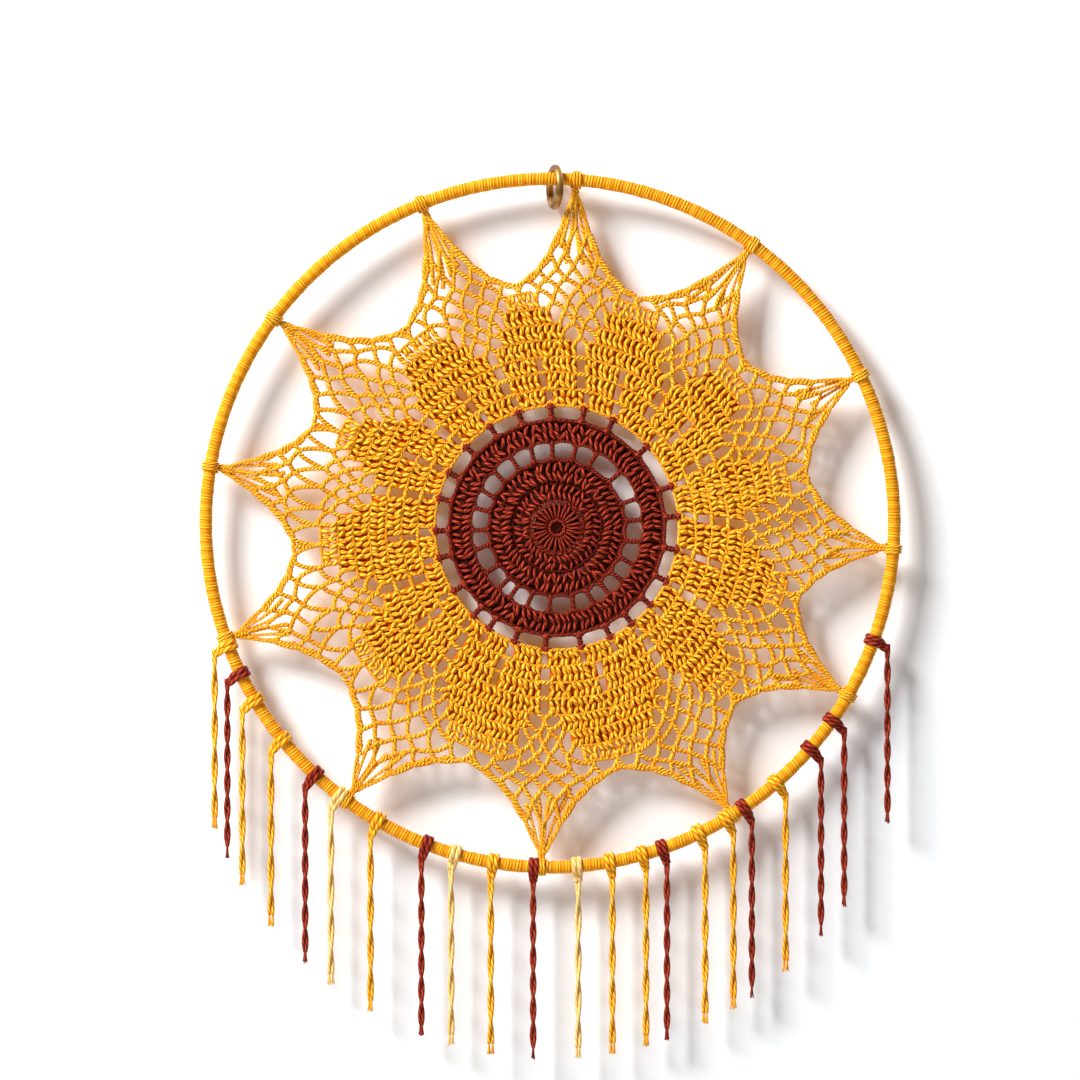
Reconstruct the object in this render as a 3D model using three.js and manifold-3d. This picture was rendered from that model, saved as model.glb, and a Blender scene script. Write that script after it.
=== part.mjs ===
// Sunflower dreamcatcher: a crocheted sunflower stretched in a yarn-wound hoop, with a knotted fringe
// and a loose hanging ring. Units are millimetres and +Z is up.
// The hoop stands in the XZ plane and its front faces -Y.
// The origin is the underside of the wound tube at the top of the hoop, where a nail or hook carries it.
import * as THREE from 'three';
import { mergeVertices } from 'three/addons/utils/BufferGeometryUtils.js';
import Module from 'manifold-3d';

const wasm = await Module();
wasm.setup();

// Hoop: a steel wire ring under a tight winding of yarn
const HOOP_OUTER_DIAMETER = 300;
const CORE_DIAMETER = 4;
const WINDING_WALL = 0.6;
const WINDING_SLIT = 0.5; // where the yarn's two ends meet, at the bottom of the hoop
const FIT_GAP = 0.3; // clearance between pieces that touch on the real object

// Sunflower: the middle lies a little off the hoop's middle, as it is tied by hand
const FLOWER_SHIFT_X = 3;
const FLOWER_SHIFT_Z = -2;
const CROCHET_THICKNESS = 2.2;

// Brown centre, from its eye outwards
const EYE_RADIUS = 3;
const DISC_RADIUS = 29;
const INNER_LADDER_HEIGHT = 7.8;
const RIM_WIDTH = 8.9;
const OUTER_LADDER_HEIGHT = 6.4;
const LADDER_ANGLES = [
  5.5, 20, 42, 62.5, 77, 93, 108.5, 123.5, 138.5, 153, 166, 181.5,
  194.5, 211.5, 226.5, 236, 249.5, 264.5, 281.5, 296, 308, 320.5, 334, 349.5,
];
const INNER_POST_WIDTH = 1.4;
const OUTER_POST_WIDTH = 2.4;

// Yellow lace: its points are tied to the hoop and its edge sags between them
const TIE_ANGLES = [25.5, 54, 85.6, 112, 143.4, 170.6, 199.6, 233.7, 268.6, 302, 330, 355.7];
// where the gaps below each point start on the brown centre
const POINT_FEET = [23, 50, 79, 109.5, 139.5, 166.5, 201, 229, 265, 310, 333, 365];
// from the flower's middle to the edge between each point and the next
const SCALLOP_RADII = [107.5, 104.5, 105.5, 107.5, 113.5, 113, 111.5, 107.5, 106.5, 107.5, 108, 109.5];
const POINT_WIDTH = 2.4;
const TIE_WIDTH = 2;
const TIE_WALL = 1.2;
const NET_STRAND = 1.2; // width of the crochet between two gaps
const LACE_ROWS = 8; // rows of stitches up to the scallop, with solid ones first and last
const EYELET_ROWS = 3; // single gaps between two petals
const EYELET_WIDTH = 4.6;
const EYELET_HEIGHT = 4.6;
const FAN_ROW_CELLS = [2, 3, 4]; // net cells in each row that widens between the petals
const FAN_CELL_WIDTH = 7.2;
const POINT_ROW_CELLS = [4, 3, 2, 1]; // net cells in each row that narrows towards the tie
const POINT_ROW_FIRST = 0.26; // share of the way up the scallop's edge
const POINT_ROW_STEP = 0.195;
const CELL_FLAT = 0.25; // share of a net cell's half width that its cut corners keep

// Fringe: lark's-head knots round the winding, and the doubled cord that hangs from each
const KNOT_WIDTH = 4;
const KNOT_WALL = 1.1;
const KNOT_GROOVE = 0.5;
const STRAND_DIAMETER = 3;
const STRAND_LENGTH = 76;
const KNOTS = [
  [200.9, 'yellow'], [206, 'brown'], [211, 'yellow'], [219, 'yellow'], [227, 'brown'], [232.4, 'cream'],
  [240, 'yellow'], [249, 'brown'], [254, 'cream'], [260.5, 'yellow'], [267.3, 'brown'], [274.5, 'cream'],
  [280, 'yellow'], [285.5, 'yellow'], [289, 'brown'], [295.6, 'yellow'], [300.7, 'yellow'], [304.2, 'brown'],
  [311, 'yellow'], [319, 'brown'], [325, 'brown'], [340, 'brown'],
];

// Hanging ring: round wire, loose on the tube and turned a little about the vertical
const RING_INNER_DIAMETER = 13;
const RING_WIRE_DIAMETER = 3.2;
const RING_ALONG = 2;
const RING_TURN = 15;

// Facets
const HOOP_SEGMENTS = 65; // odd, so that one facet faces straight down at the top of the hoop
const TUBE_SIDES = 8;
const SCALLOP_STEPS = 6;
const INNER_EDGE_STEPS = 6;
const RING_SEGMENTS = 28;
const WELD_DISTANCE = 1e-4;

// Sizes worked out from the ones above
const CORE_RADIUS = CORE_DIAMETER / 2;
const BORE_RADIUS = CORE_RADIUS + FIT_GAP;
const TUBE_RADIUS = BORE_RADIUS + WINDING_WALL;
const HOOP_RADIUS = HOOP_OUTER_DIAMETER / 2 - TUBE_RADIUS;
const FACET_SQUARE = Math.cos(Math.PI / TUBE_SIDES);
const CHORD_SQUARE = Math.cos(Math.PI / HOOP_SEGMENTS);
const HOOP_MIDDLE_Z = -(HOOP_RADIUS - TUBE_RADIUS * FACET_SQUARE) * CHORD_SQUARE;
const RIM_INNER_RADIUS = DISC_RADIUS + INNER_LADDER_HEIGHT;
const RIM_OUTER_RADIUS = RIM_INNER_RADIUS + RIM_WIDTH;
const CENTRE_RADIUS = RIM_OUTER_RADIUS + OUTER_LADDER_HEIGHT;
const LACE_INNER_RADIUS = CENTRE_RADIUS + FIT_GAP;
// bore of what is tied round the tube, measured at the corners of its facets
const SLEEVE_RADIUS = (TUBE_RADIUS + FIT_GAP) / FACET_SQUARE;
const KNOT_RADIUS = SLEEVE_RADIUS + KNOT_WALL;
const STRAND_RADIUS = STRAND_DIAMETER / 2;
// from the hoop's middle to the tops of the strands, which they swing about
const PIVOT_RADIUS = HOOP_RADIUS + KNOT_RADIUS + FIT_GAP + STRAND_RADIUS;
const FLOWER_MIDDLE = new THREE.Vector2(FLOWER_SHIFT_X, FLOWER_SHIFT_Z);

// Finishes
const YARN = {
  yellow: { color: 0xe9a51e, roughness: 0.85, metalness: 0 },
  brown: { color: 0x6a2216, roughness: 0.85, metalness: 0 },
  cream: { color: 0xf0cc7e, roughness: 0.85, metalness: 0 },
};
const STEEL = { color: 0x9a9c9e, roughness: 0.4, metalness: 1 };
const BRONZE = { color: 0x8b6224, roughness: 0.35, metalness: 1 };

const dreamcatcher = new THREE.Group();
const hoopFrame = new THREE.Group(); // its middle is the hoop's middle
hoopFrame.position.z = HOOP_MIDDLE_Z;
dreamcatcher.add(hoopFrame);

function addPiece(name, geometry, finish) {
  const piece = new THREE.Mesh(geometry, new THREE.MeshStandardMaterial(finish));
  piece.name = name;
  hoopFrame.add(piece);
  return piece;
}

function numbered(name, index) {
  return `${name}_${String(index + 1).padStart(2, '0')}`;
}

// A direction in the hoop's plane, as the pair (X, Z), at an angle from +X towards +Z
function direction(degrees) {
  const angle = THREE.MathUtils.degToRad(degrees);
  return new THREE.Vector2(Math.cos(angle), Math.sin(angle));
}

function leftOf(unit) {
  return new THREE.Vector2(-unit.y, unit.x);
}

function toManifold(geometry) {
  const bare = geometry.clone();
  bare.deleteAttribute('normal');
  bare.deleteAttribute('uv');
  const merged = mergeVertices(bare, WELD_DISTANCE);
  return new wasm.Manifold(new wasm.Mesh({
    numProp: 3,
    vertProperties: new Float32Array(merged.attributes.position.array),
    triVerts: new Uint32Array(merged.index.array),
  }));
}

function toGeometry(manifold) {
  const mesh = manifold.getMesh();
  const geometry = new THREE.BufferGeometry();
  geometry.setAttribute('position', new THREE.BufferAttribute(new Float32Array(mesh.vertProperties), 3));
  geometry.setIndex(new THREE.BufferAttribute(new Uint32Array(mesh.triVerts), 1));
  geometry.computeVertexNormals();
  return geometry;
}

// A regular polygon with flat sides facing along both axes
function tubeSection(radius) {
  const points = [];
  for (let i = 0; i < TUBE_SIDES; i += 1) {
    const angle = (2 * Math.PI * (i + 0.5)) / TUBE_SIDES;
    points.push(new THREE.Vector2(radius * Math.cos(angle), radius * Math.sin(angle)));
  }
  return points;
}

// The hoop's centre line, from one side of the slit round to the other
class HoopLine extends THREE.Curve {
  getPoint(t, target = new THREE.Vector3()) {
    const halfSlit = WINDING_SLIT / 2 / HOOP_RADIUS;
    const angle = -Math.PI / 2 + halfSlit + t * 2 * (Math.PI - halfSlit);
    return target.set(HOOP_RADIUS * Math.cos(angle), 0, HOOP_RADIUS * Math.sin(angle));
  }
}

function hoopCore() {
  const section = tubeSection(CORE_RADIUS).map((p) => new THREE.Vector2(HOOP_RADIUS + p.x, p.y));
  section.push(section[0].clone());
  return new THREE.LatheGeometry(section, HOOP_SEGMENTS, Math.PI);
}

function hoopWinding() {
  const section = new THREE.Shape(tubeSection(TUBE_RADIUS));
  section.holes.push(new THREE.Path(tubeSection(BORE_RADIUS)));
  return new THREE.ExtrudeGeometry(section, { steps: HOOP_SEGMENTS, extrudePath: new HoopLine() });
}

// A ring with a closed profile of (distance from the tube's centre, place along the tube), round the tube
function ringRoundTube(profile, degrees) {
  const closed = [...profile, profile[0]].map(([radius, along]) => new THREE.Vector2(radius, along));
  const ring = new THREE.LatheGeometry(closed, TUBE_SIDES);
  const outward = direction(degrees);
  const along = leftOf(outward);
  const frame = new THREE.Matrix4().makeBasis(
    new THREE.Vector3(outward.x, 0, outward.y),
    new THREE.Vector3(along.x, 0, along.y),
    new THREE.Vector3(0, -1, 0),
  );
  frame.setPosition(HOOP_RADIUS * outward.x, 0, HOOP_RADIUS * outward.y);
  return ring.applyMatrix4(frame);
}

// A flat piece of crochet, from an outline and its gaps in the hoop's plane
function crochetPlate(outline, gaps) {
  const shape = new THREE.Shape(outline);
  shape.holes = gaps.map((gap) => new THREE.Path(gap));
  const plate = new THREE.ExtrudeGeometry(shape, { depth: CROCHET_THICKNESS, bevelEnabled: false });
  return plate.rotateX(Math.PI / 2).translate(0, CROCHET_THICKNESS / 2, 0);
}

// A point on the flower at a radius and a number of degrees, moved sideways by a distance
function flowerPoint(radius, degrees, sideways = 0) {
  const outward = direction(degrees);
  return FLOWER_MIDDLE.clone().addScaledVector(outward, radius).addScaledVector(leftOf(outward), sideways);
}

function seedCentre() {
  const outline = [];
  const gaps = [];
  LADDER_ANGLES.forEach((post, i) => {
    const next = LADDER_ANGLES[(i + 1) % LADDER_ANGLES.length];
    outline.push(flowerPoint(RIM_OUTER_RADIUS, post, -OUTER_POST_WIDTH / 2));
    outline.push(flowerPoint(CENTRE_RADIUS, post, -OUTER_POST_WIDTH / 2));
    outline.push(flowerPoint(CENTRE_RADIUS, post, OUTER_POST_WIDTH / 2));
    outline.push(flowerPoint(RIM_OUTER_RADIUS, post, OUTER_POST_WIDTH / 2));
    gaps.push([
      flowerPoint(DISC_RADIUS, post, INNER_POST_WIDTH / 2),
      flowerPoint(RIM_INNER_RADIUS, post, INNER_POST_WIDTH / 2),
      flowerPoint(RIM_INNER_RADIUS, next, -INNER_POST_WIDTH / 2),
      flowerPoint(DISC_RADIUS, next, -INNER_POST_WIDTH / 2),
    ]);
  });
  const eye = [];
  for (let i = 0; i < TUBE_SIDES; i += 1) {
    eye.push(flowerPoint(EYE_RADIUS, (i * 360) / TUBE_SIDES));
  }
  gaps.push(eye);
  return crochetPlate(outline, gaps);
}

// One of the values that each point has, counted round the flower
function valueAt(values, index) {
  return values[THREE.MathUtils.euclideanModulo(index, values.length)];
}

// The turn from one angle to another, from -180 to 180 degrees
function turnBetween(from, to) {
  return THREE.MathUtils.euclideanModulo(to - from + 180, 360) - 180;
}

// Where a point of the lace meets the middle of its tie loop's wall
function pointEnd(index) {
  return direction(valueAt(TIE_ANGLES, index)).multiplyScalar(HOOP_RADIUS - SLEEVE_RADIUS - TIE_WALL / 2);
}

// The corner of a point's end on one side: side is 1 anticlockwise and -1 clockwise
function pointCorner(index, side) {
  const end = pointEnd(index);
  const outward = end.clone().sub(FLOWER_MIDDLE).normalize();
  return end.addScaledVector(leftOf(outward), (side * POINT_WIDTH) / 2);
}

// The scallop beside a point: the lace's edge sags as a parabola from one point's corner to the next
function scallopBeside(index, side) {
  const corner = pointCorner(index, side);
  const middle = corner.clone().add(pointCorner(index + side, -side)).multiplyScalar(0.5);
  const outward = middle.clone().sub(FLOWER_MIDDLE);
  const radius = valueAt(SCALLOP_RADII, side > 0 ? index : index - 1);
  const sag = outward.length() - radius;
  outward.normalize();
  const reach = corner.clone().sub(middle);
  const foot = valueAt(POINT_FEET, index);
  return {
    radius,
    degrees: THREE.MathUtils.radToDeg(outward.angle()),
    // the petal's middle at its foot, halfway to the next point's foot
    foot: foot + turnBetween(foot, valueAt(POINT_FEET, index + side)) / 2,
    // rise is 0 at the scallop's lowest place and 1 at the point
    at: (rise) => middle.clone()
      .addScaledVector(reach, rise)
      .addScaledVector(outward, -sag * (1 - rise * rise)),
  };
}

// A net cell about a middle: a diamond with its upper and lower corners cut short
function netCell(middle, outward, halfWide, halfTall) {
  const across = leftOf(outward);
  const corners = [
    [1, 0], [CELL_FLAT, -1], [-CELL_FLAT, -1], [-1, 0], [-CELL_FLAT, 1], [CELL_FLAT, 1],
  ];
  return corners.map(([wide, tall]) => middle.clone()
    .addScaledVector(across, wide * halfWide)
    .addScaledVector(outward, tall * halfTall));
}

function lacePoint(index) {
  const left = scallopBeside(index, 1);
  const right = scallopBeside(index, -1);
  const end = pointEnd(index).sub(FLOWER_MIDDLE);
  const outward = end.clone().normalize();

  // anticlockwise, from the petal middle on the right, over the point, to the one on the left
  const outline = [
    flowerPoint(LACE_INNER_RADIUS, right.foot, FIT_GAP / 2),
    flowerPoint(right.radius, right.degrees, FIT_GAP / 2),
  ];
  for (let i = 1; i <= SCALLOP_STEPS; i += 1) {
    outline.push(right.at(i / SCALLOP_STEPS));
  }
  for (let i = SCALLOP_STEPS; i >= 1; i -= 1) {
    outline.push(left.at(i / SCALLOP_STEPS));
  }
  outline.push(flowerPoint(left.radius, left.degrees, -FIT_GAP / 2));
  outline.push(flowerPoint(LACE_INNER_RADIUS, left.foot, -FIT_GAP / 2));
  for (let i = 1; i < INNER_EDGE_STEPS; i += 1) {
    const degrees = left.foot + ((right.foot - left.foot) * i) / INNER_EDGE_STEPS;
    outline.push(flowerPoint(LACE_INNER_RADIUS, degrees));
  }

  // the gaps below the point lie on a line that leans from its foot to its end
  const foot = POINT_FEET[index];
  const lean = turnBetween(foot, THREE.MathUtils.radToDeg(end.angle()));
  const gaps = [];
  const rowHeight = ((left.radius + right.radius) / 2 - LACE_INNER_RADIUS) / LACE_ROWS;
  for (let row = 1; row <= EYELET_ROWS + FAN_ROW_CELLS.length; row += 1) {
    const eyelet = row <= EYELET_ROWS;
    const cells = eyelet ? 1 : FAN_ROW_CELLS[row - 1 - EYELET_ROWS];
    const width = eyelet ? EYELET_WIDTH : FAN_CELL_WIDTH;
    const height = eyelet ? EYELET_HEIGHT : rowHeight - NET_STRAND;
    const radius = LACE_INNER_RADIUS + rowHeight * (row + 0.5);
    const column = foot + (lean * (row + 0.5)) / LACE_ROWS;
    for (let cell = 0; cell < cells; cell += 1) {
      const sideways = (cell - (cells - 1) / 2) * (width + NET_STRAND);
      const degrees = column + THREE.MathUtils.radToDeg(sideways / radius);
      gaps.push(netCell(flowerPoint(radius, degrees), direction(degrees), width / 2, height / 2));
    }
  }
  const middleAt = (rise) => left.at(rise).add(right.at(rise)).multiplyScalar(0.5);
  POINT_ROW_CELLS.forEach((cells, row) => {
    const rise = POINT_ROW_FIRST + POINT_ROW_STEP * row;
    const below = middleAt(rise - POINT_ROW_STEP / 2);
    const height = middleAt(rise + POINT_ROW_STEP / 2).distanceTo(below) - NET_STRAND;
    const from = right.at(rise);
    const span = left.at(rise).sub(from);
    const width = (span.length() - NET_STRAND * (cells + 1)) / cells;
    for (let cell = 0; cell < cells; cell += 1) {
      const share = (NET_STRAND * (cell + 1) + width * (cell + 0.5)) / span.length();
      const middle = from.clone().addScaledVector(span, share);
      gaps.push(netCell(middle, outward, width / 2, height / 2));
    }
  });

  const tie = ringRoundTube([
    [SLEEVE_RADIUS, -TIE_WIDTH / 2],
    [SLEEVE_RADIUS + TIE_WALL, -TIE_WIDTH / 4],
    [SLEEVE_RADIUS + TIE_WALL, TIE_WIDTH / 4],
    [SLEEVE_RADIUS, TIE_WIDTH / 2],
  ], TIE_ANGLES[index]);
  return toGeometry(toManifold(crochetPlate(outline, gaps)).add(toManifold(tie)));
}

// Two turns side by side, with a groove between them
function fringeKnot(degrees) {
  return ringRoundTube([
    [SLEEVE_RADIUS, -KNOT_WIDTH / 2],
    [KNOT_RADIUS - KNOT_GROOVE, -KNOT_WIDTH / 2],
    [KNOT_RADIUS, -KNOT_WIDTH / 4],
    [KNOT_RADIUS - KNOT_GROOVE, 0],
    [KNOT_RADIUS, KNOT_WIDTH / 4],
    [KNOT_RADIUS - KNOT_GROOVE, KNOT_WIDTH / 2],
    [SLEEVE_RADIUS, KNOT_WIDTH / 2],
  ], degrees);
}

// A straight cord that hangs from its own origin, with a half-round top about it and a cut lower end
function fringeStrand() {
  const slant = Math.SQRT1_2 * STRAND_RADIUS;
  const profile = [
    [0, -STRAND_LENGTH],
    [STRAND_RADIUS, -STRAND_LENGTH],
    [STRAND_RADIUS, 0],
    [slant, slant],
    [0, STRAND_RADIUS],
  ].map(([radius, height]) => new THREE.Vector2(radius, height));
  return new THREE.LatheGeometry(profile, TUBE_SIDES).rotateX(Math.PI / 2);
}

addPiece('hoop_core', hoopCore(), STEEL);
addPiece('hoop_winding', hoopWinding(), YARN.yellow);
addPiece('seed_centre', seedCentre(), YARN.brown);

for (let index = 0; index < TIE_ANGLES.length; index += 1) {
  addPiece(numbered('lace_point', index), lacePoint(index), YARN.yellow);
}

KNOTS.forEach(([degrees, yarn], index) => {
  addPiece(numbered('fringe_knot', index), fringeKnot(degrees), YARN[yarn]);
  const strand = addPiece(numbered('fringe_strand', index), fringeStrand(), YARN[yarn]);
  const pivot = direction(degrees).multiplyScalar(PIVOT_RADIUS);
  strand.position.set(pivot.x, 0, pivot.y);
});

const ringRadius = (RING_INNER_DIAMETER + RING_WIRE_DIAMETER) / 2;
const ringWire = new THREE.TorusGeometry(ringRadius, RING_WIRE_DIAMETER / 2, TUBE_SIDES, RING_SEGMENTS);
const ring = addPiece('hanging_ring', ringWire, BRONZE);
const tubeTop = HOOP_RADIUS * CHORD_SQUARE + TUBE_RADIUS;
ring.rotation.set(0, Math.PI / 2, THREE.MathUtils.degToRad(RING_TURN), 'ZYX');
ring.position.set(RING_ALONG, 0, tubeTop + FIT_GAP - RING_INNER_DIAMETER / 2);

export default dreamcatcher;
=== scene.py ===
"""Looks of the crocheted sunflower dreamcatcher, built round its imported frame.

Units are metres, +Z is up and the front faces -Y. All crochet is laid as lengths of yarn.
"""

import math

import bpy
import numpy as np
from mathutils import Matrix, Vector


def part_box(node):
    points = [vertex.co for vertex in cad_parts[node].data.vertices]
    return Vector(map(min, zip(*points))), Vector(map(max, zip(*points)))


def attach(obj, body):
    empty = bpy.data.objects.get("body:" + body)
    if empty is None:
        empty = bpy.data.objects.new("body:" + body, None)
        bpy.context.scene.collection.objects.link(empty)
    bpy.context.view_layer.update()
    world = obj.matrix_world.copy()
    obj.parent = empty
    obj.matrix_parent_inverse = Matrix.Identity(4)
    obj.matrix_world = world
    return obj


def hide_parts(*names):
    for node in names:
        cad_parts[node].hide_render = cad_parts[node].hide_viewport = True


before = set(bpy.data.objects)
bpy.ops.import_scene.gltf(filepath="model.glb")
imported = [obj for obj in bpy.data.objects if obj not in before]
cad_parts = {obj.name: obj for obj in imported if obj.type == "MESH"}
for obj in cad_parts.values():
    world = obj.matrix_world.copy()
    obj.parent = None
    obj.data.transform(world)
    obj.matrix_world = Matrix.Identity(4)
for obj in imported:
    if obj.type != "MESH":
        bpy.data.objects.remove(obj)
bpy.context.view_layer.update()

MM = 0.001
FRONT = np.array((0.0, -1.0, 0.0))
UP = np.array((0.0, 0.0, 1.0))
TURN = 2 * np.pi
chance = np.random.default_rng(517)

# Hoop and its winding
HOOP_RADIUS = 147.1 * MM
HOOP_MIDDLE = np.array((0.0, 0.0, -144.252)) * MM
TUBE_RADIUS = 2.9 * MM
WINDING_PITCH = 1.3 * MM
WINDING_YARN = (0.42 * MM, 0.80 * MM)  # half thickness, half width
WINDING_STEPS = 11  # points in each turn
# Waves along the winding, each with its size, rate and shift
WINDING_CROWD = ((0.14, 300, 0), (0.07, 790, 1))  # how far turns shift, in pitches
WINDING_PROUD = ((0.05 * MM, 430, 0), (0.05 * MM, 1130, 0))  # how far turns stand out
WINDING_SHADE = 0.58
WINDING_SHADES = ((0.1, 2.4, 0), (0.08, 0.37, 0))  # lighter and darker turns

# Flower, from its eye outwards
FLOWER_MIDDLE = HOOP_MIDDLE + np.array((3.0, 0.0, -2.0)) * MM
EYE_RADIUS = 3.2 * MM
SPOKES = 26
SPOKE_FOOT = 3.6 * MM
SPOKE_HEAD = 11.2 * MM
SEED_ROUNDS = ((12.2, 18.9, 42), (19.9, 28.2, 62))  # foot and head in mm, stitches
DISC_RADIUS = 28.8 * MM
RIM_FOOT = 37.0 * MM
RIM_HEAD = 45.2 * MM
RIM_STITCHES = 100
CENTRE_RADIUS = 52.1 * MM
LADDER_ANGLES = (5.5, 20, 42, 62.5, 77, 93, 108.5, 123.5, 138.5, 153, 166, 181.5,
                 194.5, 211.5, 226.5, 236, 249.5, 264.5, 281.5, 296, 308, 320.5, 334, 349.5)
LACE_FOOT = 52.6 * MM
ROW_HEIGHT = 6.9 * MM
DENSE_ROWS = 7
STITCH_PITCH = 2.5 * MM
# From the flower's middle to the edge between each point and the next
SCALLOP_RADII = np.array((107.5, 104.5, 105.5, 107.5, 113.5, 113,
                          111.5, 107.5, 106.5, 107.5, 108, 109.5)) * MM
SCALLOP_MEAN = SCALLOP_RADII.mean()
POINT_WIDTH = 2.4 * MM
TIE_RADIUS = 143.04 * MM  # where a point of the lace meets its tie, from the hoop's middle
TIE_ANGLES = (25.5, 54, 85.6, 112, 143.4, 170.6, 199.6, 233.7, 268.6, 302, 330, 355.7)
# Where the column of eyelets below each point starts on the brown centre
POINT_FEET = (23, 50, 79, 109.5, 139.5, 166.5, 201, 229, 265, 310, 333, 365)
POST_GAP = 1.2 * MM  # half width of the opening above a ladder post
POST_REACH = 40  # degrees, within which a point looks for posts
COLUMN_GAP = 1.9 * MM  # half width of an eyelet below a point
MIDDLE_GAP = 1.4 * MM  # half width of an eyelet in a petal's middle
MIDDLE_ROWS = (1, 2)
WIDE_PETAL = 26  # degrees, from which a petal has eyelets in its middle
FAN_FOOT = 76.8 * MM
FAN_HALF_WIDTH = 2.4 * MM
FAN_SPREAD = 0.66  # how much the net's half width grows with the radius
FAN_ROWS = 6
FAN_ROW_HEIGHT = 5.0 * MM
POINT_RISES = (0.15, 0.34, 0.54, 0.74)  # places of the net's rows up the scallop's edge
POINT_BOW = 3.2 * MM

# Brown centre: stitches, chains and posts
SEED_STRAY = 0.12  # for the stitches' distance
SEED_LEAN = 0.5  # degrees
SEED_FOOT_FRONT = 0.7 * MM
SEED_HEAD_FRONT = -0.4 * MM
SEED_OVERLAP = 0.6 * MM
SEED_STRAND = 0.34  # likewise, at most
# Painted shade: the chains at a round's head and behind it are dark where the next round's shadow falls.
SEED_CHAIN_SHADE = 0.12
SPOKE_STRAY = 0.15
SPOKE_LEAN = 3  # degrees
SPOKE_STRANDS = (0.42 * MM, 0.8 * MM)  # half thickness at foot and head
SPOKE_BACKS = (0.55 * MM, 1.6 * MM)
SPOKE_ARCH = 0.9 * MM
SPOKE_FRONT = -0.2 * MM
DEEP_FRONT = -1.1 * MM  # where the yarn behind the stitches lies
EYE_BACKING = 1.5 * MM
FINE_CHAIN = {"strand": 0.42 * MM, "lay": 0.34 * MM}
EYE_PITCH = 2.1 * MM
ROUND_WAVE = 0.2 * MM
ROUND_WAVES = 9
POST_PULL = 1.3 * MM  # how far a post draws the chain at its end
POST_PULL_REACH = 1.7 * MM
POST_LEAN = 0.8  # degrees
INNER_POST = {"strand": 0.66 * MM, "lay": 0.56 * MM, "pitch": 3.0 * MM, "shade": 0.35}
OUTER_POST = {"strand": 0.76 * MM, "lay": 0.66 * MM, "pitch": 3.4 * MM, "shade": 0.3}
POST_KNOT = ((-0.45, 0.62), (0.5, 0.58))  # place and half thickness in mm
POST_KNOT_BOW = 0.55 * MM
OUTER_KNOTS = (1.7, 2.5)  # least and most half width, in mm
INNER_KNOTS = (1.3, 1.8)
POST_LOOP = (0.9 * MM, 0.8 * MM, 0.1 * MM)  # outwards, to the front, across
POST_LOOP_STRAND = 0.55 * MM

# Yarn
YARN_SIDES = 5
END_ROUNDING = 0.5  # of a closed end, for its thickness
END_MAP = (0.0, 0.1, 0.05)  # places round the yarn that colour an end
MAP_SHIFT = 0.05  # metres along its pattern that a length may start
PLAIN_SHADES = (0.4, 1)  # least and most, where none is given
EDGE_SHADE = 0.06  # painted shade at a yarn's edges, for the shade on its top

# Tall stitches: two front loops and a back leg
LOOP_STRAND = 1.03 * MM
LOOP_DEPTH = 0.8  # thickness for width
LOOP_SHAPE = np.array((0.65, 0.92, 1.0, 0.92, 0.65))  # how each loop swells and thins
LOOP_DIVE = 0.45 * MM  # how far a loop's ends go back between the stitches
LOOP_FRONT = 0.3 * MM  # how far a loop's middle stands in front of its stitch
LOOP_PLACES = ((0.25, -1), (0.74, 1))  # how far up, side that it leans to
LOOP_LEAN = (0.2, 0.65)  # least and most lean, as a slope
LEAN_SIDES = (1, 1, 1, 1, 1, -1)  # about one loop in six leans the other way
LOOP_HALF_LENGTH = (0.25, 0.31)  # least and most, for the stitch's height
LOOP_SIZES = (0.85, 1.08)  # least and most, for the full strand
LOOP_END_SHADE = 0.6  # painted shade: how much a loop darkens to its ends, where they dip back between the stitches
LOOP_STRAY_UP = 0.035  # for the stitch's height
LOOP_STRAY_ACROSS = 0.2 * MM
LOOP_STRAY_FRONT = 0.12 * MM
STITCH_SIDES = 6
STITCH_SHADES = (0.75, 1.0)
STITCH_STRAY = 0.1 * MM  # of a stitch's ends
FOOT_FRONT = 0.35 * MM  # a stitch's foot stands before the head of the row below
HEAD_FRONT = -0.15 * MM
SHORTEST_RUN = 0.6  # stitches, below which a stretch of a row stays empty
OPEN_ROWS = 6  # from this row on, back legs are narrow and let light through
OPEN_SHARE = 0.55  # their width there, for the full one
BACK_LEG = 0.95 * MM  # from a stitch's middle to its back leg
BACK_DEPTH = 0.4 * MM  # half thickness of a back leg
BACK_OVERLAP = 0.05 * MM  # past half the way to the next stitch
BACK_SHADE = np.array(((0.0, 0.6, 0.6, 0.0, 0.0, 0.0),))  # painted shade: dark in front, where the back legs lie deep between the stitches, and plain behind

# Chains, net and ties
CHAIN_STRAND = 0.50 * MM
CHAIN_LAY = 0.40 * MM
CHAIN_PITCH = 2.7 * MM
CHAIN_STEPS = 7
NET_CHAIN = {"strand": 0.68 * MM, "lay": 0.52 * MM, "pitch": 3.4 * MM}
HEAD_CHAIN = {"strand": 0.46 * MM, "lay": 0.36 * MM, "shade": 0.5}
HEAD_CHAIN_FRONT = 0.1 * MM
HEAD_WAVE = 0.25 * MM  # of the chain along a row's head
HEAD_WAVE_LENGTH = 4 * MM  # for each radian
BRIDGE_REACH = 1.2 * MM  # of the chain over an eyelet, into the stitches
BRIDGE_FRONT = 0.2 * MM
TIP_REACH = (2 * MM, 0.5 * MM)  # inside the stitches' ends and the edge
FOOT_INSET = 0.3 * MM
FOOT_BULGE = 1.8 * MM  # away from each ladder post
FOOT_CHAIN_FRONT = 0.25 * MM
NET_OVERLAP = 1.0 * MM  # into the stitches beside the net
NET_STRAY = np.array((0.55, 0.275, 0.55)) * MM  # of the net's knots
NET_END = 1.5 * MM  # from a point's end to where its last arches meet
NET_ROUNDNESS = (0.25, 0.5)
POINT_ROUNDNESS = 0.15
STRAND_SHARES = (0.2, 0.4, 0.6, 0.8)  # places of the long chains between a point's edges
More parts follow.
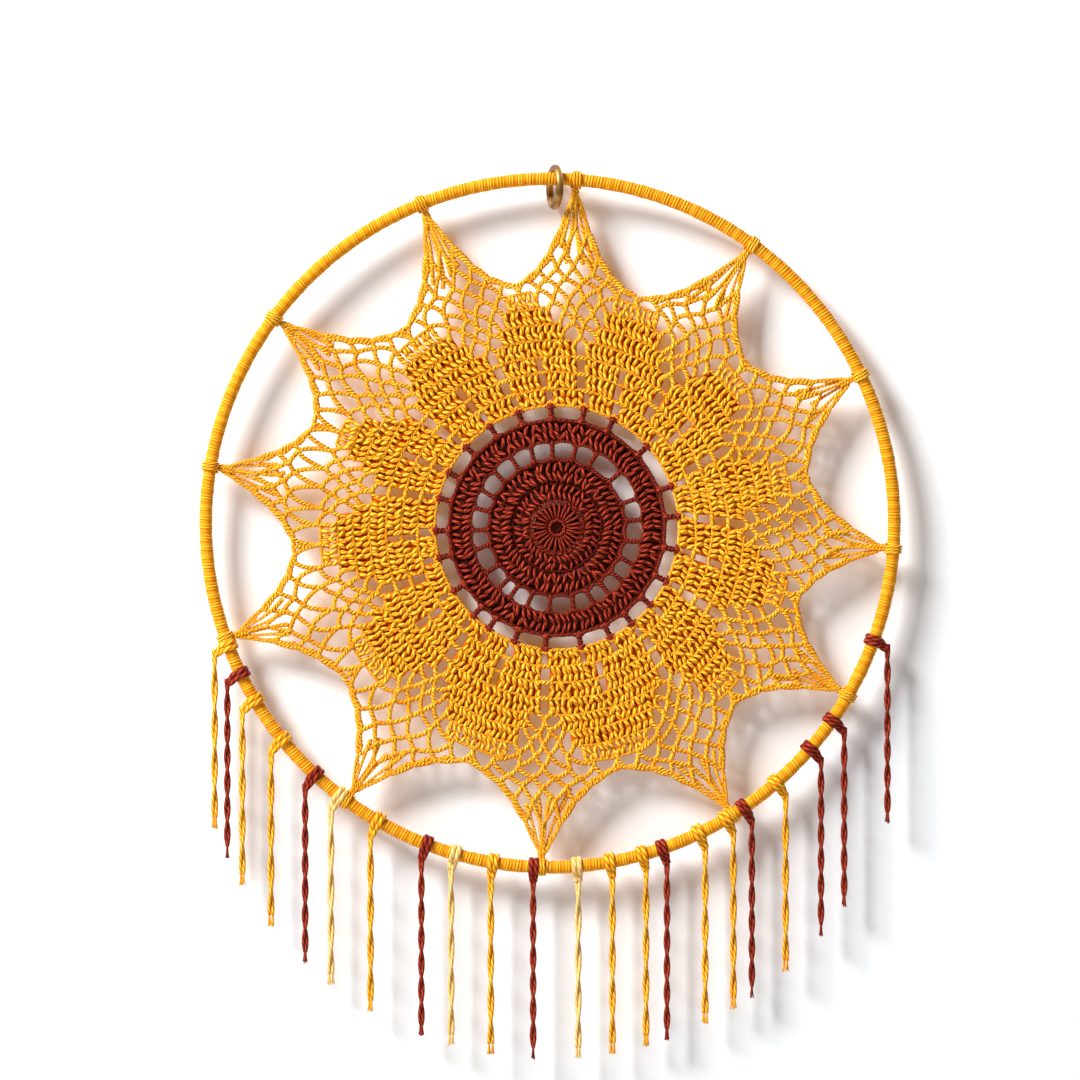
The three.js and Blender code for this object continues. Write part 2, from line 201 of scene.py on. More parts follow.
STRAND_STARTS = (0.4, 0.62)  # how far up the edges they start
STRAND_STOP = 0.97
STRAND_SWAY = 0.1
STRAND_DEPTHS = (-0.3, 0.9)  # mm towards the back
EDGE_STEP = 0.8 * MM
EDGE_CELLS = (7.5, 9.5)  # mm from one bulge of an edge to the next
EDGE_BULGE = 0.9 * MM
EDGE_INSET = 1.0 * MM
CATCH_REACH = 0.9 * MM
CATCH_STRAND = 0.5 * MM
CATCH_DRIFT = 0.08 * MM  # for each radian
TIE_STRAND = (0.5 * MM, 0.62 * MM)
TIE_LIFT = 0.52 * MM  # from the wound tube to the middle of a tie's yarn
TIE_PITCH = 1.25 * MM
TIE_TURNS = (-1.0, 2.05)
LEAD_PLACES = (-0.55, 0.55)  # mm, where a tie's two leads reach the tube
LEAD_SPREAD = 1.3  # how much wider apart they start
LEAD_LENGTH = 6 * MM
LEAD_FRONT = 0.4 * MM
DRAWN_REACH = 22 * MM  # from a point's end, where chains start to thin
DRAWN_THIN = 0.62  # and their thickness at the end

# Fringe: the angle and the yarn of each knot
KNOTS = (
    (200.9, "yellow"), (206, "brown"), (211, "yellow"), (219, "yellow"), (227, "brown"),
    (232.4, "cream"), (240, "yellow"), (249, "brown"), (254, "cream"), (260.5, "yellow"),
    (267.3, "brown"), (274.5, "cream"), (280, "yellow"), (285.5, "yellow"), (289, "brown"),
    (295.6, "yellow"), (300.7, "yellow"), (304.2, "brown"), (311, "yellow"), (319, "brown"),
    (325, "brown"), (340, "brown"),
)
PIVOT_RADIUS = 153.464 * MM
STRAND_LENGTH = 76 * MM
CORD_SIDES = 8
CORD_STRAND = 0.74 * MM
CORD_START = -0.6 * MM  # a little above the pivot
CORD_APART = 0.76 * MM  # from the cord's middle to each of its halves
CORD_GATHER = 4 * MM  # length in which the halves come apart
CORD_LAYS = {"yellow": 34 * MM, "brown": 22 * MM, "cream": 34 * MM}
TUFT = 5 * MM
TUFT_RAGGED = 1.2 * MM
TUFT_FIBRES = 5
TUFT_STRAND = 0.26 * MM
TUFT_SPREAD = 0.62 * MM
KNOT_BAND = (0.6 * MM, 1.18 * MM)  # half thickness, half width
KNOT_SWING = (14, 346)  # degrees round the tube
KNOT_LIFT = 0.62 * MM
KNOT_STEP = 0.6 * MM
KNOT_SHADE = 0.55
KNOT_APART = 1.1 * MM  # from the knot's middle
GATHER_APART = 0.75 * MM
GATHER_FRONT = 0.55 * MM
GATHER_REACH = 4.5 * MM  # from the tube's middle
NECK_APART = 0.6 * MM
NECK_FRONT = 0.5 * MM
KNOT_DROOP = 1.1 * MM  # how far the gathered cord sags on the hoop's sides
NECK_DROOP = 1.2  # and how much more at the neck

# Ring
RING_RADIUS = 8.1 * MM
RING_WIRE = 1.6 * MM
RING_TURN = 15  # degrees
RING_WEAR = 0.06  # how much thinner the wire is where it rides on the hoop
RING_WEAR_REACH = 0.5  # radians
RING_BENDS = 0.015

# Yarn colours: painted shade in the hollows, the body, painted highlight on the tops, and the tint of the
# gleam
YARN_COLOURS = {
    "mustard_yarn": ((0.62, 0.10, 0.001), (1.0, 0.46, 0.004), (1.0, 0.76, 0.09), (1.0, 0.75, 0.3)),
    "brown_yarn": ((0.03, 0.001, 0.0005), (0.23, 0.011, 0.004), (0.64, 0.085, 0.034), (1.0, 0.5, 0.4)),
    "cream_yarn": ((0.72, 0.36, 0.08), (0.90, 0.60, 0.19), (1.0, 0.76, 0.36), (1.0, 0.85, 0.6)),
    "wound_yarn": ((0.74, 0.20, 0.002), (0.92, 0.36, 0.003), (1.0, 0.62, 0.05), (1.0, 0.8, 0.4)),
}
YARN_PLIES = 3
YARN_TWIST = 0.28  # turns of the plies in each mm of yarn
WOUND_TWIST = 0.02
FIBRE_SCALE = 2600
PATCH_SCALE = 90
# Metals: the dark and the bright colour, roughness and scale of the patches
BRONZE = ((0.10, 0.05, 0.015), (0.42, 0.23, 0.06), 0.36, 160)
STEEL = ((0.42, 0.42, 0.43), (0.62, 0.62, 0.63), 0.35, 400)

# Stage and light
STAGE_SIZE = 6
WALL_GAP = 10.5 * MM
WALL_PAINT = (0.92, 0.935, 0.95)
FLOOR_HEIGHT = -0.41
FLOOR_PAINT = (0.86, 0.86, 0.85)
FLOOR_SENT_ON = 0.5  # share of its light that the floor sends on to the object
WORLD_LIGHT = 0.02
# Name, place, size and energy
LAMPS = (
    ("key", (-1.85, -1.42, 1.78), 1.0, 181),
    ("fill", (1.2, -1.6, 0.1), 1.2, 0.6),
    ("back_fill", (0.7, 1.7, 0.7), 1.2, 18),
)

# View: the width of the picture at the hoop, and the point in its middle
VIEW_WIDTH = 461.6 * MM
VIEW_MIDDLE = np.array((-4.3, 0.0, -151.5)) * MM
CAMERA_DISTANCE = 1.9
SENSOR_WIDTH = 36.0


def unit(vectors):
    return vectors / np.linalg.norm(vectors, axis=-1, keepdims=True)


def plane_direction(degrees):
    """Unit vectors in the hoop's plane, at an angle from +X towards +Z."""
    angle = np.radians(np.asarray(degrees, float))
    return np.stack((np.cos(angle), np.zeros_like(angle), np.sin(angle)), axis=-1)


def left_of(direction):
    """The direction a quarter turn anticlockwise, seen from the front."""
    return np.stack((-direction[..., 2], np.zeros_like(direction[..., 0]), direction[..., 0]), axis=-1)


def flower_place(radius, degrees, front=0.0):
    """Points on the flower at a radius and an angle, raised towards the front."""
    radius = np.asarray(radius, float)[..., None]
    front = np.asarray(front, float)[..., None]
    return FLOWER_MIDDLE + radius * plane_direction(degrees) + front * FRONT


def column(start, stop, count):
    """Even steps from one value to another, as a column."""
    return np.linspace(start, stop, count)[:, None]


def resample(line, step):
    """The same line with points an even step apart, and their distances along it."""
    line = np.asarray(line, float)
    reached = np.concatenate(((0.0,), np.cumsum(np.linalg.norm(np.diff(line, axis=0), axis=1))))
    count = max(int(round(reached[-1] / step)), 2)
    along = np.linspace(0.0, reached[-1], count + 1)
    return np.stack([np.interp(along, reached, line[:, axis]) for axis in range(3)], axis=1), along


def new_object(name, data):
    made = bpy.data.objects.new(name, data)
    bpy.context.scene.collection.objects.link(made)
    return made


class YarnWork:
    """Gathers lengths of yarn as tubes with closed ends, to make one mesh of them."""

    def __init__(self):
        self.places = []
        self.quads = []
        self.ends = []
        self.quad_maps = []
        self.end_maps = []
        self.shades = []
        self.count = 0

    def lay(self, line, radius, reference=FRONT, sides=YARN_SIDES, shade=None):
        """Lays one yarn along a line. A pair of radii flattens it: the first is square to the reference.

        A radius is one value, or one for each ring. The shade sets the yarn's painted shade and painted
        highlight.
        It is one value, one for each ring as a column or one for each side as a row. It falls off to the
        yarn's edges as painted shade.
        """
        line = np.asarray(line, float)
        rings = len(line)
        tangent = unit(np.gradient(line, axis=0))
        first = unit(np.cross(tangent, reference))
        second = np.cross(tangent, first)
        wide, deep = radius if isinstance(radius, tuple) else (radius, radius)
        angle = TURN * np.arange(sides) / sides
        wide, deep = (np.broadcast_to(size, rings)[:, None, None] for size in (wide, deep))
        section = (np.cos(angle)[None, :, None] * first[:, None] * wide
                   + np.sin(angle)[None, :, None] * second[:, None] * deep)
        body = (line[:, None] + section).reshape(-1, 3)
        reach = END_ROUNDING * np.minimum(wide, deep)[[0, -1], 0]
        poles = np.stack((line[0] - reach[0] * tangent[0], line[-1] + reach[1] * tangent[-1]))
        self.places.append(np.concatenate((body, poles)))

        ring = np.arange(rings - 1)[:, None] * sides
        side = np.arange(sides)[None]
        after = (side + 1) % sides
        quads = np.stack((ring + side, ring + after, ring + sides + after, ring + sides + side), axis=-1)
        self.quads.append(self.count + quads.reshape(-1, 4))
        last = (rings - 1) * sides
        side, after = side[0], after[0]
        start = np.stack((after, side, np.full(sides, rings * sides)), axis=-1)
        stop = np.stack((last + side, last + after, np.full(sides, rings * sides + 1)), axis=-1)
        self.ends.append(self.count + np.concatenate((start, stop)))
        self.count += rings * sides + 2

        steps = np.linalg.norm(np.diff(line, axis=0), axis=1)
        along = (np.concatenate(((0.0,), np.cumsum(steps))) + chance.uniform(0, MAP_SHIFT)) / MM
        around = np.arange(sides + 1) / sides
        low, high = np.meshgrid(along[:-1], around[:-1], indexing="ij")
        low_next, high_next = np.meshgrid(along[1:], around[1:], indexing="ij")
        corners = ((high, low), (high_next, low), (high_next, low_next), (high, low_next))
        quad_map = np.stack([np.stack(pair, axis=-1) for pair in corners], axis=2)
        self.quad_maps.append(quad_map.reshape(-1, 2))
        for reached in (along[0], along[-1]):
            self.end_maps.append(np.stack((np.tile(END_MAP, sides), np.full(3 * sides, reached)), axis=-1))
        # Painted shade: a yarn darkens towards its edges, where it turns away from its top and meets the
        # yarn beside it.
        facing = np.abs(np.sin(angle) if reference is FRONT else np.cos(angle))
        shade = chance.uniform(*PLAIN_SHADES) if shade is None else shade
        shades = np.broadcast_to(shade * (EDGE_SHADE + (1 - EDGE_SHADE) * facing), (rings, sides)).ravel()
        self.shades.append(np.concatenate((shades, shades[[0, -1]])))

    def make(self, name, material):
        """One mesh object of all the yarn that was laid."""
        places = np.concatenate(self.places)
        quads = np.concatenate(self.quads)
        ends = np.concatenate(self.ends)
        mesh = bpy.data.meshes.new(name)
        mesh.vertices.add(len(places))
        mesh.vertices.foreach_set("co", places.ravel())
        corners = np.concatenate((quads.ravel(), ends.ravel()))
        mesh.loops.add(len(corners))
        mesh.loops.foreach_set("vertex_index", corners)
        starts = np.concatenate((4 * np.arange(len(quads)), 4 * len(quads) + 3 * np.arange(len(ends))))
        mesh.polygons.add(len(starts))
        mesh.polygons.foreach_set("loop_start", starts)
        mesh.polygons.foreach_set("use_smooth", np.ones(len(starts), bool))
        yarn_map = mesh.uv_layers.new(name="yarn")
        yarn_map.uv.foreach_set("vector", np.concatenate(self.quad_maps + self.end_maps).ravel())
        shade = mesh.attributes.new("shade", "FLOAT", "POINT")
        shade.data.foreach_set("value", np.concatenate(self.shades))
        mesh.update(calc_edges=True)
        mesh.validate()
        mesh.materials.append(material)
        return new_object(name, mesh)


def dress(piece, body, slot, *nodes):
    """Sets a finished piece on its body, in place of the solids that it stands for."""
    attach(piece, body)
    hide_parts(*nodes)


# Stitches
def chain(work, line, strand=CHAIN_STRAND, lay=CHAIN_LAY, pitch=CHAIN_PITCH, shade=None,
          drawn_to=None):
    """A crocheted chain: two strands that turn round each other and thin towards drawn_to, if given."""
    line, along = resample(line, pitch / CHAIN_STEPS)
    if drawn_to is not None:
        thin = np.clip(np.linalg.norm(line - drawn_to, axis=1) / DRAWN_REACH, DRAWN_THIN, 1)
        strand = strand * thin
        lay = lay * thin[:, None]
    across = unit(np.cross(unit(np.gradient(line, axis=0)), FRONT))
    turn = TURN * along / pitch + chance.uniform(0, TURN)
    for half in (0.0, np.pi):
        swing = (turn + half)[:, None]
        work.lay(line + lay * (np.cos(swing) * across + np.sin(swing) * FRONT), strand, shade=shade)


def double_crochet(work, foot, head, half_width, strand=LOOP_STRAND):
    """A tall stitch: two fat loops, one above the other, and a broad back leg that closes the gaps.

    The loops darken to their ends and the back leg is dark in front, both as painted shade.
    """
    share = column(-1, 1, len(LOOP_SHAPE))
    climb = head - foot
    across = unit(np.cross(climb, FRONT))
    tall = np.linalg.norm(climb)
    bright = chance.uniform(*STITCH_SHADES)
    for height, side in LOOP_PLACES:
        lean = side * chance.uniform(*LOOP_LEAN) * chance.choice(LEAN_SIDES)
        along = unit(climb + lean * tall * across)
        half_length = chance.uniform(*LOOP_HALF_LENGTH) * tall
        middle = foot + (height + chance.normal(0, LOOP_STRAY_UP)) * climb
        middle = middle + chance.normal(0, LOOP_STRAY_ACROSS) * across
        front = LOOP_FRONT + chance.normal(0, LOOP_STRAY_FRONT) - LOOP_DIVE * share ** 2
        size = strand * LOOP_SHAPE * chance.uniform(*LOOP_SIZES)
        work.lay(middle + share * half_length * along + front * FRONT, (size, LOOP_DEPTH * size),
                 sides=STITCH_SIDES, shade=bright * (1 - LOOP_END_SHADE * share ** 2))
    back = foot + column(0, 1, 3) * climb - BACK_LEG * FRONT
    work.lay(back, (half_width, BACK_DEPTH), sides=STITCH_SIDES, shade=BACK_SHADE)


def catch_loop(work, place, along):
    """The small loop that catches one chain to another, round a direction."""
    across = unit(np.cross(along, FRONT))
    swing = column(0, TURN, 9)
    loop = place + CATCH_REACH * (np.cos(swing) * across + np.sin(swing) * FRONT)
    work.lay(loop + CATCH_DRIFT * swing * along, CATCH_STRAND, reference=along)


def arch(start, top, stop, outward, roundness):
    """A chain's line that climbs from one place over a top and down to the next."""
    share = column(0, 1, 9)
    halves = []
    for foot in (start, stop):
        climb = top - foot
        rise = np.dot(climb, outward) * outward
        control = (foot, foot + roundness * rise, top - roundness * (climb - rise), top)
        halves.append((1 - share) ** 3 * control[0] + 3 * (1 - share) ** 2 * share * control[1]
                      + 3 * (1 - share) * share ** 2 * control[2] + share ** 3 * control[3])
    return np.concatenate((halves[0], halves[1][-2::-1]))


# Yellow lace
def tie_end(index):
    return HOOP_MIDDLE + TIE_RADIUS * plane_direction(TIE_ANGLES[index % len(TIE_ANGLES)])


def degrees_of(direction):
    return math.degrees(math.atan2(direction[2], direction[0]))


def turn_between(start, stop):
    """The turn from one angle to another, from -180 to 180 degrees."""
    return (stop - start + 180) % 360 - 180


class Scallop:
    """The lace's edge on one side of a point. It sags as a parabola to the next point."""

    def __init__(self, index, side):
        corners = []
        for which, turned in ((index, side), (index + side, -side)):
            end = tie_end(which)
            outward = unit(end - FLOWER_MIDDLE)
            corners.append(end + turned * POINT_WIDTH / 2 * left_of(outward))
        self.middle = (corners[0] + corners[1]) / 2
        outward = self.middle - FLOWER_MIDDLE
        self.radius = SCALLOP_RADII[(index if side > 0 else index - 1) % len(SCALLOP_RADII)]
        self.sag = np.linalg.norm(outward) - self.radius
        self.outward = unit(outward)
        self.reach = corners[0] - self.middle
        self.degrees = degrees_of(self.outward)

    def at(self, rise):
        rise = np.asarray(rise, float)[..., None]
        return self.middle + rise * self.reach - self.sag * (1 - rise ** 2) * self.outward


def petal_share(radius):
    """How far out in the petals a radius is, from 0 at their foot to 1."""
    return np.clip((radius - LACE_FOOT) / (SCALLOP_MEAN - LACE_FOOT), 0, 1)


class LacePoint:
    """One of the flower's points, with the half petals on both sides of it."""

    def __init__(self, index):
        self.end = tie_end(index)
        self.outward = unit(self.end - FLOWER_MIDDLE)
        self.degrees = degrees_of(self.outward)
        self.foot = POINT_FEET[index]
        self.edges = {side: Scallop(index, side) for side in (1, -1)}
        self.petal_spans = {side: turn_between(self.foot, POINT_FEET[(index + side) % len(POINT_FEET)])
                            for side in (1, -1)}

    def middle(self, radius):
        """The angle of the point's own line at a radius."""
        return self.foot + petal_share(radius) * turn_between(self.foot, self.degrees)

    def petal_middle(self, radius, side):
        foot = self.foot + self.petal_spans[side] / 2
        return foot + petal_share(radius) * turn_between(foot, self.edges[side].degrees)

    def half_arc(self, radius, side):
        """How far the petal's middle is from the point's line, along the arc."""
        turn = turn_between(self.middle(radius), self.petal_middle(radius, side))
        return abs(math.radians(turn)) * radius

    def place(self, radius, side, arc, front=0.0):
        """A point of the lace at a distance along the arc from the point's line."""
        return flower_place(radius, self.middle(radius) + side * np.degrees(arc / radius), front)


def fan_half_width(radius):
    return FAN_HALF_WIDTH + FAN_SPREAD * max(radius - FAN_FOOT, 0.0)


def row_openings(point, row, radius):
    """The openings in a row of stitches, each a place along the arc and half a width."""
    if row == 0:
        turns = [turn_between(point.middle(radius), degrees) for degrees in LADDER_ANGLES]
        return [(math.radians(turn) * radius, POST_GAP) for turn in turns if abs(turn) < POST_REACH]
    openings = [(0.0, COLUMN_GAP if radius < FAN_FOOT else fan_half_width(radius))]
    for side in (1, -1):
        if row in MIDDLE_ROWS and abs(point.petal_spans[side]) >= WIDE_PETAL:
            openings.append((side * point.half_arc(radius, side), MIDDLE_GAP))
    return openings


def stitched_runs(point, row, radius):
    """The stretches of a row that are filled with stitches."""
    runs = []
    start = -point.half_arc(radius, -1)
    end = point.half_arc(radius, 1)
    for middle, half in sorted(row_openings(point, row, radius)):
        runs.append((start, min(middle - half, end)))
        start = max(start, middle + half)
    runs.append((start, end))
    return [(first, last) for first, last in runs if last - first > SHORTEST_RUN * STITCH_PITCH]


def dense_stitches(work, point):
    """The rows of tall stitches in the two half petals, with the chain along each row's head."""
    for row in range(DENSE_ROWS):
        foot_radius = LACE_FOOT + row * ROW_HEIGHT
        head_radius = foot_radius + ROW_HEIGHT
        middle_radius = (foot_radius + head_radius) / 2
        for first, last in stitched_runs(point, row, middle_radius):
            count = max(int(round((last - first) / STITCH_PITCH)), 1)
            for stitch in range(count):
                arc = first + (stitch + 0.5) * (last - first) / count
                wander = chance.normal(0, STITCH_STRAY, 4)
                foot_arc = arc * foot_radius / middle_radius + wander[1]
                head_arc = arc * head_radius / middle_radius + wander[3]
                foot = point.place(foot_radius + wander[0], 1, foot_arc, FOOT_FRONT)
                head = point.place(head_radius + wander[2], 1, head_arc, HEAD_FRONT)
                half_width = (last - first) / count / 2 * head_radius / middle_radius + BACK_OVERLAP
                double_crochet(work, foot, head, half_width * (1 if row < OPEN_ROWS else OPEN_SHARE))
        row_heads(work, point, head_radius)
    petal_tip(work, point)
    lace_foot(work, point)


def row_heads(work, point, radius):
    """The chain along the head of a row. Below the net it crosses the eyelets."""
    wave = chance.uniform(0, TURN)
    right, left = -point.half_arc(radius, -1), point.half_arc(radius, 1)
    spans = [(right, left)]
    if radius > FAN_FOOT:
        half = fan_half_width(radius)
        spans = [(right, -half), (half, left)]
    for first, last in spans:
        if last - first < STITCH_PITCH:
            continue
        arcs = np.linspace(first, last, 25)
        radii = radius + HEAD_WAVE * np.sin(arcs / HEAD_WAVE_LENGTH + wave)
        chain(work, point.place(radii, 1, arcs, HEAD_CHAIN_FRONT), **HEAD_CHAIN)
    row = int(round((radius - LACE_FOOT) / ROW_HEIGHT)) - 1
    for middle, half in row_openings(point, row, radius):
        if radius < FAN_FOOT and right < middle < left:
            arcs = np.linspace(middle - half - BRIDGE_REACH, middle + half + BRIDGE_REACH, 7)
            net_chain(work, point.place(np.full_like(arcs, radius), 1, arcs, BRIDGE_FRONT))


def petal_tip(work, point):
    """The chain in the middle of a petal's tip, where the nets of two points meet."""
    reach = np.linspace(FAN_FOOT, point.edges[1].radius, 60)
    closed = [radius for radius in reach if petal_edge(point, 1, radius) >= point.half_arc(radius, 1)]
    radii = np.linspace(closed[0] - TIP_REACH[0], reach[-1] - TIP_REACH[1], 9)
    net_chain(work, flower_place(radii, [point.petal_middle(radius, 1) for radius in radii]))


def lace_foot(work, point):
    """The lace's inner edge, which bulges between the ladder posts."""
    arcs = np.linspace(-point.half_arc(LACE_FOOT, -1), point.half_arc(LACE_FOOT, 1), 61)
    radii = np.full_like(arcs, LACE_FOOT - FOOT_INSET)
    for middle, half in row_openings(point, 0, LACE_FOOT):
        radii += FOOT_BULGE * np.exp(-((arcs - middle) / half) ** 2)
    chain(work, point.place(radii, 1, arcs, FOOT_CHAIN_FRONT))


def petal_edge(point, side, radius):
    """How far the edge of the petal beside the net is from the point's line, at a radius."""
    row = int((radius - LACE_FOOT) / ROW_HEIGHT)
    seam = point.half_arc(radius, side)
    if row >= DENSE_ROWS:
        return seam
    middle_radius = LACE_FOOT + (row + 0.5) * ROW_HEIGHT
    return min(fan_half_width(middle_radius) * radius / middle_radius + NET_OVERLAP, seam)


def net_rows(point):
    """The places where the net's arches spring from, row by row, from the petals to the point's end."""
    rows = []
    for row in range(FAN_ROWS):
        radius = FAN_FOOT + row * FAN_ROW_HEIGHT
        arcs = np.linspace(-petal_edge(point, -1, radius), petal_edge(point, 1, radius), row + 2)
        rows.append(point.place(np.full(row + 2, radius), 1, arcs))
    for row, rise in enumerate(POINT_RISES):
        share = column(0, 1, FAN_ROWS - row)
        chord = (1 - share) * point.edges[-1].at(rise) + share * point.edges[1].at(rise)
        bow = POINT_BOW * (1 - rise) ** 2 * 4 * share * (1 - share)
        rows.append(chord + bow * point.outward)
    for row in rows:
        inner = row[1:-1]
        inner += chance.normal(0, 1, inner.shape) * NET_STRAY
    return rows


def net_chain(work, line, drawn_to=None):
    chain(work, line, drawn_to=drawn_to, **NET_CHAIN)


def net(work, point):
    """The net of chain arches, each caught on the tops of those below it."""
    rows = net_rows(point)
    for number, row in enumerate(rows):
        widening = number + 1 < FAN_ROWS
        if number + 1 < len(rows):
            tops = rows[number + 1][1:-1] if widening else rows[number + 1]
        else:
            tops = np.tile(point.end - NET_END * point.outward, (len(row) - 1, 1))
        roundness = np.full(len(tops), POINT_ROUNDNESS)
        if number < FAN_ROWS:
            roundness = chance.uniform(*NET_ROUNDNESS, len(tops))
        for start, stop, top, curl in zip(row[:-1], row[1:], tops, roundness):
            outward = unit(top - FLOWER_MIDDLE) if number < FAN_ROWS else point.outward
            net_chain(work, arch(start, top, stop, outward, curl), point.end)
        if number:
            for place in row[1:-1]:
                catch_loop(work, place, left_of(unit(place - FLOWER_MIDDLE)))
    long_strands(work, point)


def long_strands(work, point):
    """Long chains that run together from the net into the point's end."""
    for share in STRAND_SHARES:
        rise = np.linspace(chance.uniform(*STRAND_STARTS), STRAND_STOP, 24)
        sway = share + STRAND_SWAY * np.sin(rise * 7 + chance.uniform(0, 6)) * (1 - rise)
        line = (1 - sway)[:, None] * point.edges[-1].at(rise) + sway[:, None] * point.edges[1].at(rise)
        net_chain(work, line - chance.uniform(*STRAND_DEPTHS) * MM * FRONT, point.end)


def scallop_edges(work, point):
    """The chain along each edge. It bulges a little between the net's arches."""
    for side in (1, -1):
        line, along = resample(point.edges[side].at(np.linspace(0, 1, 41)), EDGE_STEP)
        inward = unit(np.cross(np.gradient(line, axis=0), FRONT))
        inward *= np.sign(np.sum(inward * (FLOWER_MIDDLE - line), axis=1, keepdims=True))
        cell = chance.uniform(*EDGE_CELLS) * MM
        bulge = EDGE_BULGE * np.abs(np.sin(np.pi * along / cell + chance.uniform(0, 3)))[:, None]
        net_chain(work, line + (EDGE_INSET - bulge) * inward, point.end)


def tie(work, degrees, end):
    """The point's end: two turns of yarn round the wound tube."""
    outward = plane_direction(degrees)
    along = left_of(outward)
    middle = HOOP_MIDDLE + HOOP_RADIUS * outward
    swing = column(*TIE_TURNS, 34) * TURN
    radius = TUBE_RADIUS + TIE_LIFT
    drift = (swing / TURN - 0.5) * TIE_PITCH
    turns = middle + radius * (-np.cos(swing) * outward + np.sin(swing) * FRONT) + drift * along
    work.lay(turns, TIE_STRAND, reference=along, sides=STITCH_SIDES)
    for sideways in LEAD_PLACES:
        lead = column(0, 1, 8)
        start = end - LEAD_LENGTH * unit(end - FLOWER_MIDDLE) + sideways * LEAD_SPREAD * MM * along
        stop = middle - radius * outward + sideways * MM * along + LEAD_FRONT * FRONT
        chain(work, start + lead * (stop - start))


def lace(index, material):
    point = LacePoint(index)
    work = YarnWork()
    dense_stitches(work, point)
    net(work, point)
    scallop_edges(work, point)
    tie(work, TIE_ANGLES[index], point.end)
    name = f"{index + 1:02d}"
    dress(work.make(f"lace_{name}", material), "hoop", "yellow_yarn", f"lace_point_{name}")


# Brown centre
def round_chain(work, radius, front=0.0, **chain_sizes):
    degrees = np.linspace(0, 360, 97) + chance.uniform(0, 360)
    wave = ROUND_WAVE * np.sin(np.radians(degrees) * ROUND_WAVES)
    chain(work, flower_place(radius + wave, degrees, front), **chain_sizes)


def post_chain(work, radius, toward, front=0.0):
    """The chain that a ladder's posts are worked on to. It is drawn towards each post."""
    degrees = np.linspace(0, 360, 361)
    pull = np.zeros_like(degrees)
    for post in LADDER_ANGLES:
        pull += np.exp(-(np.radians(turn_between(post, degrees)) * radius / POST_PULL_REACH) ** 2)
    chain(work, flower_place(radius + POST_PULL * toward * pull, degrees, front), shade=0.4)


def seed_round(work, foot_radius, head_radius, stitches):
    """A round of tall stitches. Its foot stands in front of the head of the round inside it."""
    strand = min(LOOP_STRAND, SEED_STRAND * np.pi * (foot_radius + head_radius) / stitches)
    half_width = np.pi * head_radius / stitches + SEED_OVERLAP
    for stitch in range(stitches):
        degrees = 360 * (stitch + chance.uniform(-SEED_STRAY, SEED_STRAY)) / stitches
        foot = flower_place(foot_radius, degrees, SEED_FOOT_FRONT)
        head = flower_place(head_radius, degrees + chance.normal(0, SEED_LEAN), SEED_HEAD_FRONT)
        double_crochet(work, foot, head, half_width, strand)
    # Painted shade: dark chains along the round's head and behind it.
    round_chain(work, head_radius, -0.5 * MM, shade=SEED_CHAIN_SHADE, **FINE_CHAIN)
    round_chain(work, head_radius + 0.5 * MM, DEEP_FRONT, shade=SEED_CHAIN_SHADE)


def shaded_back_yarn(work, line, half_width):
    """A flat yarn behind the stitches, dark in front as painted shade where the gaps between them are
    deep.
    """
    work.lay(line, (half_width, BACK_DEPTH), sides=STITCH_SIDES, shade=BACK_SHADE)


def spokes(work):
    """The first round: long single stitches that spread from the eye."""
    for spoke in range(SPOKES):
        degrees = 360 * (spoke + chance.uniform(-SPOKE_STRAY, SPOKE_STRAY)) / SPOKES
        radius = np.linspace(SPOKE_FOOT, SPOKE_HEAD, 6)
        arch_up = np.sin(np.linspace(0.2, np.pi, 6))
        lean = degrees + np.linspace(0, chance.uniform(-SPOKE_LEAN, SPOKE_LEAN), 6)
        line = flower_place(radius, lean, SPOKE_ARCH * arch_up + SPOKE_FRONT)
        # Painted shade: a spoke darkens towards its ends, where it dips back.
        work.lay(line, np.linspace(*SPOKE_STRANDS, 6), sides=STITCH_SIDES,
                 shade=(0.1 + 0.5 * arch_up)[:, None])
        # Painted shade: a dark yarn behind each spoke.
        shaded_back_yarn(work, flower_place(radius[::2], degrees, DEEP_FRONT), np.linspace(*SPOKE_BACKS, 3))


def post_knot(work, degrees, radius, width):
    """The wide knot at an end of a post, where it is worked on to the next round."""
    outward = plane_direction(degrees)
    across = left_of(outward)
    for place, thick in POST_KNOT:
        share = column(-1, 1, 7)
        bow = POST_KNOT_BOW * (1 - share ** 2)
        middle = flower_place(radius, degrees, 0.2 * MM) + place * MM * outward
        work.lay(middle + share * width * across + bow * FRONT, thick * MM)
    swing = column(0, TURN, 9)
    reach, rise, drift = POST_LOOP
    loop = flower_place(radius, degrees, 0.3 * MM) + reach * np.cos(swing) * outward
    loop = loop + rise * np.sin(swing) * FRONT + drift * swing * across
    work.lay(loop, POST_LOOP_STRAND, reference=across)


